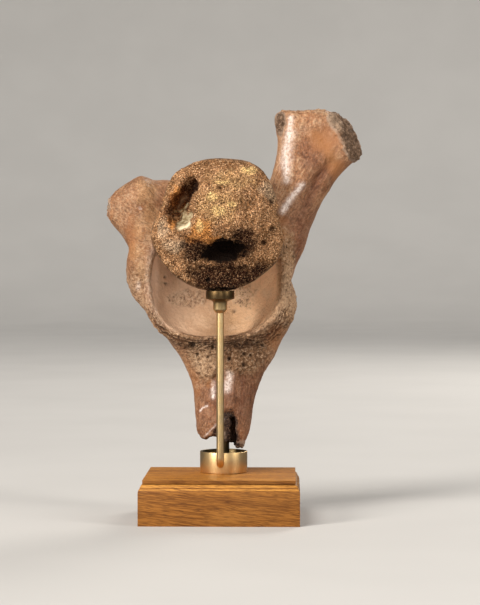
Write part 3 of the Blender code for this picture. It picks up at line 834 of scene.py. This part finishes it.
# Patches of painted shade, mostly over the head's lower part
HEAD_SHADE_PATCHES = (
    (4, 276, 44, 18), (12, 264, 46, 12), (31, 314, 13, 15), (-26, 305, 15, 13), (6, 303, 28, 16),
    (46, 282, 14, 9), (24, 322, 13, 9), (-12, 282, 13, 8), (34, 272, 18, 9), (-30, 297, 9, 9),
)
# Patches of painted shadow: the hollow under the boss and a strip along the bottom
HEAD_SHADOW_PATCHES = ((1, 302, 24, 10), (5, 312, 12, 8), (20, 309, 11, 8), (8, 260, 24, 5))
# The pale shelf below the crescent, and its lower edge as a line
CHANNEL_PATCHES = ((-37, 339, 8, 10), (-33, 344, 5, 6), (-42, 334, 7, 6))
CHANNEL_EDGE = ((-29, 345), (-31, 338), (-36, 332), (-43, 329))
# The crescent above the channel: its parts, which get painted shade, and its deep right side as a line, which
# gets painted shadow
CRESCENT_SHADE_PATCHES = ((-28, 379, 6, 7), (-36, 371, 9, 8), (-46, 361, 14, 10), (-51, 351, 16, 8))
CRESCENT_SHADOW_SIDE = ((-25, 381), (-28, 370), (-33, 358), (-35, 352))
FIBRE_RIDGE = ((-51, 350), (-45, 350), (-40, 353), (-36, 358))
# Pits: X, Z, half-width and depth, in mm
HEAD_PITS = (
    (59, 361, 3, 5), (50, 315, 3, 4), (60, 331, 4, 3), (2, 375, 1.5, 3), (-13, 273, 3.5, 4), (26, 330, 3, 2),
)


def make_head(settings):
    """Femoral head: open spongy bone in front, smooth articular cap behind."""
    head = fine_skin("femoral_head", "bone_of_the_head", settings.fineness, 6)
    mesh = head.data
    points, normals = read_vertices(mesh)
    mm = points / MM
    x, y, z = mm.T
    wobble = field(points, 9 * MM)
    hills = field(points, 17 * MM, 2.0)
    lumps = rough_field(points, 9 * MM, 4, 3.0)
    grit = rough_field(points, 3.4 * MM, 3, 7.0)
    crowd = field(points, 13 * MM, 9.0)
    pore = (1 - step(0.18, 0.42, cells(points, 3.1 * MM, 5.0))) * step(-0.45, 0.35, crowd)
    border = -30.5 + 2.5 * rough_field(points, 10 * MM, 3, 5.0)
    middle = np.hypot(x - 4, z - 326)
    rough = np.maximum(step(0.0, 5.0, border - y), step(60, 54, middle) * step(0, -6, y))
    pit = pitted(mm, HEAD_PITS, 1.2) * step(0, 6, -30 - y)
    channel = blots(mm, CHANNEL_PATCHES, wobble, 0.7, 1.15) * rough
    ridge = bell(beside_path(mm, FIBRE_RIDGE), 1.2) * rough
    calm = 1 - 0.8 * channel
    change = rough * (2.2 * hills + calm * (2 * lumps + grit)) * MM
    change -= rough * pore * settings.pore_depth + pit * 3.0 * MM
    change += (1 - rough) * 0.25 * MM * rough_field(points, 16 * MM, 3, 1.0)
    change = np.clip(change + 1.2 * MM * ridge, -5 * MM, 2.4 * MM)
    set_vertices(mesh, points + normals * change[:, None])

    front = step(0.15, 0.5, -normals[:, 1])
    # Painted shade in the crescent, and painted shadow along its right side
    crescent_shade = blots(mm, CRESCENT_SHADE_PATCHES, wobble + 0.4 * grit, 0.70, 1.20) * (0.96 - 0.22 * step(-42, -58, x))
    side = bell(beside_path(mm, CRESCENT_SHADOW_SIDE) + 0.6 * grit, 4.5) * step(352, 368, z)
    yellow = np.maximum(blots(mm, YELLOW_PATCHES, wobble), 0.26 * blots(mm, SAND_PATCHES, wobble))
    # A band along the lower edge of the rough front, which gets painted shade
    edge = bell(y + 30, 4) * step(325, 300, z)
    head_painted_shadow = blots(mm, HEAD_SHADOW_PATCHES, 0.6 * wobble + 0.5 * grit, 0.75, 1.15) * rough
    set_masks(mesh, {
        "rough": rough, "channel": np.clip(channel + ridge, 0, 1),
        "edge": bell(beside_path(mm, CHANNEL_EDGE), 1.6) * channel,
        "crescent_shade": np.clip(crescent_shade * (1 - ridge) * (1 - channel), 0, 1),
        # The pit mask is painted shade in the pores and pits
        "pit": np.clip(pore * rough * 0.75 + pit, 0, 1), "yellow": yellow * front,
        "rust": blots(mm, RUST_PATCHES, wobble), "pale": blots(mm, PALE_PATCHES, wobble),
        # Painted shade in patches and along the lower edge of the rough front
        "head_painted_shade": np.clip(blots(mm, HEAD_SHADE_PATCHES, wobble + 0.5 * grit) * rough + 0.7 * edge, 0, 1),
        "head_painted_shadow": np.maximum(head_painted_shadow, 0.8 * side * crescent_shade),
    })
    mesh.materials.append(head_finish(settings))
    finish_piece(head, "head_bone", "femoral_head")


# Areas of the pelvis that are rough, broken or knobbly: middle X, Y, Z and half-widths, in mm
ROUGH_AREAS = (
    (-20, 0, 182, 21, 24, 26), (26, 4, 190, 34, 30, 26),
    (-98, 20, 262, 16, 30, 30), (68, 14, 244, 24, 26, 44), (95, 36, 474, 60, 40, 8),
)
BROKEN_ENDS = (
    (66, 20, 452, 7, 20, 16), (-136, 42, 356, 8, 26, 22), (2, 20, 78, 40, 40, 10), (6, 6, 104, 14, 6, 22),
)
# The broken face of the upper right limb, as a line of (X, Z) corners
STUMP_FACE = ((132, 457), (142, 445), (149, 430), (153, 419))
KNOB_AREAS = ((-22, 0, 182, 16, 30, 20), (30, 0, 186, 26, 30, 20), (-24, 20, 96, 14, 40, 12))
# Stains and other patches on the pelvis's front, with painted shade under the cup's rim (brown): X, Z,
# half-width and half-height, in mm
PELVIS_STAINS = {
    "rust": (
        (62, 208, 12, 16), (-130, 347, 6, 6), (-38, 150, 12, 26), (-12, 153, 5, 4), (62, 330, 14, 20),
        (118, 432, 18, 14), (136, 396, 10, 14), (-104, 322, 6, 22),
    ),
    "pale": (
        (-134, 354, 10, 24), (126, 451, 12, 12), (-22, 181, 16, 18), (-106, 246, 26, 28), (78, 262, 12, 30),
        (60, 240, 16, 30),
    ),
    # Painted shade under the rim's lip
    "brown": ((30, 190, 32, 20), (-18, 203, 22, 3), (12, 200, 20, 9)),
    "porous": ((-40, 250, 19, 9), (25, 252, 12, 13)),
    "glow": (
        (-98, 305, 10, 10), (-88, 284, 10, 15), (-96, 330, 7, 12), (-88, 374, 12, 14), (-83, 342, 9, 22),
    ),
}
# Patches of painted shade on the lower shaft, the right side and the broken limb: X, Z, half-width and
# half-height, in mm
PELVIS_SHADE_SPOTS = ((4, 125, 46, 46), (92, 335, 20, 42), (30, 170, 18, 44), (134, 398, 17, 20))
PELVIS_MORE_SHADE_SPOTS = ((112, 425, 26, 30),)
# Patches of painted shade in the broken hollow at the foot: X, Z, half-width and half-height, in mm
FOOT_HOLLOW_SHADE_PATCHES = ((11, 110, 9, 14), (13, 93, 8, 14), (-5, 97, 7, 6))
FOOT_SHADE_PATCHES = ((7, 104, 8, 22), (0, 90, 16, 5))
# Pits: X, Z, half-width and depth, in mm
PELVIS_PITS = (
    (-33, 197, 3.0, 5), (-9, 194, 1.8, 4), (-27, 187, 1.6, 3), (9.5, 182, 2.0, 4.5), (26, 175, 1.7, 3.5),
    (41, 199, 1.8, 3), (48, 197, 1.6, 3), (-66, 275, 1.4, 3), (-65, 268, 1.4, 3), (14, 236, 1.8, 2.5),
    (26, 188, 1.6, 3), (34, 186, 1.6, 3), (-15, 184, 1.4, 2.5), (-24, 175, 1.3, 2),
)
# Lines that stand up or lie in: corners as (X, Z), half-width and height, in mm
PELVIS_LINES = (
    (((82, 458), (80, 432), (77, 408), (77, 384)), 6.0, 2.6),
    (((95, 385), (82, 367), (69, 348)), 5.0, 2.6),
    (((126, 407), (110, 387), (98, 362), (88, 338)), 5.0, -2.2),
    (((96, 450), (98, 420), (92, 400)), 8.0, -1.6),
    (((-93, 392), (-86, 376), (-78, 362)), 4.0, 1.4),
    (((-106, 372), (-98, 350), (-96, 330)), 5.0, -1.2),
    (((14, 160), (13, 126)), 3.0, 1.3),
    (((24, 166), (21, 128)), 6.0, -1.4),
    (((-8, 154), (-8, 126)), 2.5, 0.9),
    (((-38, 176), (-22, 157), (-8, 162)), 3.0, -1.2),
    (((58, 330), (72, 300)), 5.0, 1.0),
)

# Streaks of painted shade and golden streaks: corners as (X, Z) and half-width, in mm
PELVIS_SHADE_LINES = ((((126, 407), (110, 387), (92, 345), (88, 310)), 9.0), (((27, 175), (24, 120)), 7.0))
GOLD_LINES = ((((150, 402), (121, 352), (106, 310)), 5.0), (((108, 438), (121, 424), (132, 400)), 9.0))

# Polished streaks, paler partly from polish and partly as painted highlights: corners as (X, Z) and
# half-width, in mm
POLISH_AND_HIGHLIGHT_LINES = (
    (((80, 457), (79, 440)), 3.0), (((79, 440), (75, 420), (74, 402)), 5.5), (((75, 402), (75, 386)), 4.0),
    (((92, 381), (80, 366), (70, 350)), 3.1), (((-9, 154), (-9, 139)), 2.3), (((10, 166), (7, 148)), 4.0),
    (((-24, 122), (-21, 126), (-16, 128)), 0.8), (((-94, 355), (-92, 354)), 1.1),
    (((-94, 268), (-96, 262)), 2.5), (((-113, 276), (-112, 270)), 2.5), (((-19, 93), (-6, 107)), 0.9),
)


def make_pelvis(settings):
    """Pelvis fragment: worn outside, granular rim, finely porous cup and broken spongy ends."""
    pelvis = fine_skin("pelvis_acetabulum", "bone_of_the_pelvis", settings.fineness, 9)
    mesh = pelvis.data
    points, normals = read_vertices(mesh)
    mm = points / MM
    x, y, z = mm.T
    wobble = rough_field(points, 9 * MM, 3, 11.0)
    lumps = rough_field(points, 8 * MM, 4, 2.0)
    grit = rough_field(points, 3.8 * MM, 3, 6.0)
    wave = rough_field(points, 24 * MM, 3, 4.0)
    crowd = field(points, 17 * MM, 12.0)
    pore = (1 - step(0.16, 0.42, cells(points, 4.2 * MM, 8.0))) * step(-0.30, 0.40, crowd)
    radius, ahead, shell = (values / MM for values in cup_space(points))
    facing = step(0.0, 0.5, -normals[:, 1])
    front = step(40, 25, y) * facing

    # Where the bone is cup, broken end or rough
    brink = -0.5 + 3.0 * step(-36, -56, x) + 2.5 * step(42, 58, x) * step(250, 262, z)
    cup = (1 - step(1.0, 4.0, np.abs(shell))) * (1 - step(-5.5, 0.0, ahead + 0.8 * wobble - brink))
    rim = bell(radius - 78, 13) * step(-30, -10, ahead)
    rim = step(0.30, 0.75, rim + 0.28 * wobble) * (1 - cup)
    rim *= 0.45 + 0.55 * np.maximum(step(290, 240, z), step(30, 60, x))
    right_lip = bell(radius - 68.5, 5.5) * step(8, 34, x) * step(-22, -12, ahead)
    left_lip = bell(radius - 72.5, 4.0) * step(-34, -54, x) * step(-6, -2, ahead)
    cup *= 1 - 0.55 * right_lip
    face = 1 - step(8.0, 12.0, beside_path(mm, STUMP_FACE) + 2.0 * wobble)
    face *= step(0.0, 0.3, normals[:, 0] - 0.3 * normals[:, 1])
    end = np.maximum(within(mm, BROKEN_ENDS, wobble), face)
    rough = np.maximum(rim, within(mm, ROUGH_AREAS, wobble)) * (1 - 0.42 * step(-58, -84, x))
    rough = np.clip(np.maximum(rough, 0.9 * right_lip), 0, 1) * (1 - end) * (1 - cup)

    # The lip under the cup: a pale edge, which is a painted highlight, thin layers and a groove, which gets
    # painted shade
    below = step(-25, -50, z - CUP_CENTRE.z / MM)
    lip = bell(radius - 71.5, 3.6) * below * step(-8, -3, ahead)
    layered = bell(radius - 77.5, 6.5) * below * front * (1 - cup)
    groove = bell(radius - 79.0 - 1.6 * wobble, 3.4) * below * bell(x - 2, 46) * facing
    shelves = np.sin((radius + 2.4 * wobble) * 2.2) * bell(radius - 77, 7) * below * front

    pit = pitted(mm, PELVIS_PITS, 1.5) * step(64, 50, y) * facing
    lines = sum(height * bell(beside_path(mm, path), half) for path, half, height in PELVIS_LINES)
    lines *= facing * step(60, 30, y)
    knobs = within(mm, KNOB_AREAS, wobble)
    change = 0.6 * wave + 0.30 * lumps + 0.16 * grit + rough * (lumps + grit)
    change += end * (1.5 * lumps + 1.4 * grit) + knobs * (0.7 * lumps + 0.9 * grit)
    change += cup * (0.3 * lumps + 0.15 * grit) + lines + 0.4 * lip + 0.55 * shelves
    change -= 2.6 * groove + 3.4 * pit
    change = change * MM - np.maximum(rough, end) * pore * settings.pore_depth - cup * pore * 0.30 * MM
    change = np.clip(change, -5.5 * MM, 2.2 * MM)
    set_vertices(mesh, points + normals * change[:, None])

    out = np.hypot(x - CUP_CENTRE.x / MM, z - CUP_CENTRE.z / MM)
    # Painted shade on the lower shaft, the right side and along creases, kept off the cup
    deep = np.maximum(0.75 * blots(mm, PELVIS_SHADE_SPOTS, wobble), streaks(mm, PELVIS_SHADE_LINES, 1.5 * wobble))
    deep = np.maximum(deep, 0.72 * blots(mm, PELVIS_MORE_SHADE_SPOTS, wobble)) * (1 - cup)
    # Painted highlights along the cup's lips
    lip_painted_highlight = np.maximum(0.22 * lip, 0.30 * left_lip) * (1 - cup)
    worn = np.maximum(streaks(mm, POLISH_AND_HIGHLIGHT_LINES, 0.8 * wobble) * front, lip_painted_highlight)
    # Painted shade in the spongy hollow at the foot
    spongy = blots(mm, FOOT_SHADE_PATCHES, wobble) * step(14, 8, y) * step(-1, 1.5, y)
    # Painted shade in the pores, pits, the groove under the lip, the spongy hollow at the foot and the
    # troughs between the shelves
    dark = pore * np.maximum(rough, end) * 0.7 + pit + 0.5 * groove + 0.9 * spongy
    dark += 0.45 * step(0.1, 0.8, -shelves)
    # Painted shade in the broken hollow at the foot
    foot_hollow_shade = blots(mm, FOOT_HOLLOW_SHADE_PATCHES, 0.5 * wobble + 0.6 * grit, 0.8, 1.2) * step(45, 35, y)
    set_masks(mesh, {
        "rough": rough, "cup": cup, "end": end, "limb": step(60, 90, out) * (0.35 + 0.65 * front),
        "layer": radius + 1.6 * wobble, "layered": layered, "deep": deep,
        "gold": streaks(mm, GOLD_LINES, 1.5 * wobble), "worn": np.clip(worn, 0, 1) * (1 - end),
        "foot_hollow_shade": np.clip(foot_hollow_shade, 0, 0.96), "pit": np.clip(dark, 0, 1),
        **{name: blots(mm, patches, wobble) for name, patches in PELVIS_STAINS.items()},
    })
    mesh.materials.append(pelvis_finish(settings))
    finish_piece(pelvis, "pelvis_bone", "pelvis_acetabulum")


# Studio

def softbox(name, place, size, power):
    light = bpy.data.lights.new(name, "AREA")
    light.shape = "RECTANGLE"
    light.size, light.size_y = size
    light.energy = power
    light.color = SOFTBOX_TONE
    thing = add_thing(name, light)
    thing.location = place
    thing.rotation_euler = (Vector(SPECIMEN_MIDDLE) - Vector(place)).to_track_quat("-Z", "Y").to_euler()


def make_stage(settings):
    """Wide pale floor, soft lights and the camera."""
    bm = bmesh.new()
    profile = [(0.0, 0.0), (1.5, 0.0), (3.5, 0.0), (FLOOR_REACH, 0.0)]
    for turn in range(1, 13):
        angle = math.radians(90 * turn / 12)
        profile.append((FLOOR_REACH + FLOOR_BEND * math.sin(angle), FLOOR_BEND * (1 - math.cos(angle))))
    profile.append((FLOOR_REACH + FLOOR_BEND, WALL_TOP))
    turned(bm, profile, 0.0, 0.0, 72)
    floor = new_piece("studio_floor", bm, 60)
    paper, s = material("pale_paper")
    tone = s.span(s.clouds(s.place(), 3.0, 2.0), 0.3, 0.7)
    darker = tuple(0.96 * part for part in settings.floor_colour)
    s.dress({"Base Color": s.blend(tone, settings.floor_colour, darker), "Roughness": 0.85})
    floor.data.materials.append(paper)
    floor.visible_glossy = False
    softbox("left_softbox", (-2.30, -2.20, 1.35), (0.8, 1.3), settings.left_power)
    softbox("right_softbox", (2.50, -1.40, 1.30), (0.6, 1.4), settings.right_power)
    softbox("front_fill", (0.40, -3.40, 0.80), (0.9, 0.7), settings.fill_power)
    softbox("back_softbox", (1.60, 2.80, 2.20), (1.4, 1.4), settings.back_power)
    daylight = bpy.data.lights.new("high_light", "SUN")
    daylight.energy = settings.high_strength
    daylight.angle = math.radians(25)
    daylight.color = HIGH_TONE
    high = add_thing("high_light", daylight)
    high.rotation_euler = (math.radians(38), 0.0, math.radians(-35))
    scene = bpy.context.scene
    world = bpy.data.worlds.new("studio_air")
    scene.world = world
    world.use_nodes = True
    air = world.node_tree.nodes["Background"].inputs
    air["Color"].default_value = (*settings.air_colour, 1.0)
    air["Strength"].default_value = 1.0
    lens = bpy.data.cameras.new("camera")
    lens.lens = CAMERA_LENS
    lens.clip_end = 30.0
    camera = add_thing("camera", lens)
    camera.location = CAMERA_PLACE
    camera.rotation_euler = (CAMERA_PITCH, 0.0, CAMERA_YAW)
    scene.camera = camera
    scene.view_settings.view_transform = "Standard"


# Operators

class SPECIMEN_OT_stage(bpy.types.Operator):
    """Sets up the floor, the lights and the camera"""

    bl_idname = "specimen.stage"
    bl_label = "Stage"

    def execute(self, context):
        make_stage(context.scene.specimen_studio)
        return {"FINISHED"}


class SPECIMEN_OT_plinth(bpy.types.Operator):
    """Makes the moulded wooden plinth"""

    bl_idname = "specimen.plinth"
    bl_label = "Wooden plinth"

    def execute(self, context):
        make_plinth(context.scene.specimen_wood)
        return {"FINISHED"}


class SPECIMEN_OT_brass(bpy.types.Operator):
    """Makes the collar, post, rod and ferrule"""

    bl_idname = "specimen.brass"
    bl_label = "Brass fittings"

    def execute(self, context):
        settings = context.scene.specimen_brass
        finish = brass_finish(settings)
        made = (
            (make_collar(settings), "brass_collar"), (make_post(), "brass_post"),
            (make_rod(settings), "brass_rod"), (make_ferrule(), "brass_ferrule"),
        )
        for thing, node in made:
            thing.data.materials.append(finish)
            finish_piece(thing, "brass", node)
        return {"FINISHED"}


class SPECIMEN_OT_head(bpy.types.Operator):
    """Makes the femoral head"""

    bl_idname = "specimen.head"
    bl_label = "Femoral head"

    def execute(self, context):
        make_head(context.scene.specimen_head)
        return {"FINISHED"}


class SPECIMEN_OT_pelvis(bpy.types.Operator):
    """Makes the pelvis fragment with its cup"""

    bl_idname = "specimen.pelvis"
    bl_label = "Pelvis and cup"

    def execute(self, context):
        make_pelvis(context.scene.specimen_pelvis)
        return {"FINISHED"}


class SPECIMEN_PT_panel(bpy.types.Panel):
    """Lists the pieces and their settings"""

    bl_idname = "SPECIMEN_PT_panel"
    bl_label = "Mounted fossil"
    bl_space_type = "VIEW_3D"
    bl_region_type = "UI"
    bl_category = "Specimen"

    def draw(self, context):
        for operator, settings in zip(OPERATORS, SETTINGS):
            box = self.layout.box()
            box.operator(operator.bl_idname)
            group = getattr(context.scene, settings)
            for name in group.bl_rna.properties.keys():
                if name not in ("rna_type", "name"):
                    box.prop(group, name)


SETTINGS = {
    "specimen_studio": StudioSettings,
    "specimen_wood": WoodSettings,
    "specimen_brass": BrassSettings,
    "specimen_head": HeadSettings,
    "specimen_pelvis": PelvisSettings,
}

OPERATORS = (
    SPECIMEN_OT_stage, SPECIMEN_OT_plinth, SPECIMEN_OT_brass, SPECIMEN_OT_head, SPECIMEN_OT_pelvis,
)

CLASSES = (*SETTINGS.values(), *OPERATORS, SPECIMEN_PT_panel)


def register():
    for kind in CLASSES:
        bpy.utils.register_class(kind)
    for name, kind in SETTINGS.items():
        setattr(bpy.types.Scene, name, bpy.props.PointerProperty(type=kind))


def unregister():
    for name in SETTINGS:
        delattr(bpy.types.Scene, name)
    for kind in reversed(CLASSES):
        bpy.utils.unregister_class(kind)


def main():
    register()
    bpy.ops.specimen.stage()
    bpy.ops.specimen.plinth()
    bpy.ops.specimen.brass()
    bpy.ops.specimen.head()
    bpy.ops.specimen.pelvis()


if __name__ == "__main__":
    main()
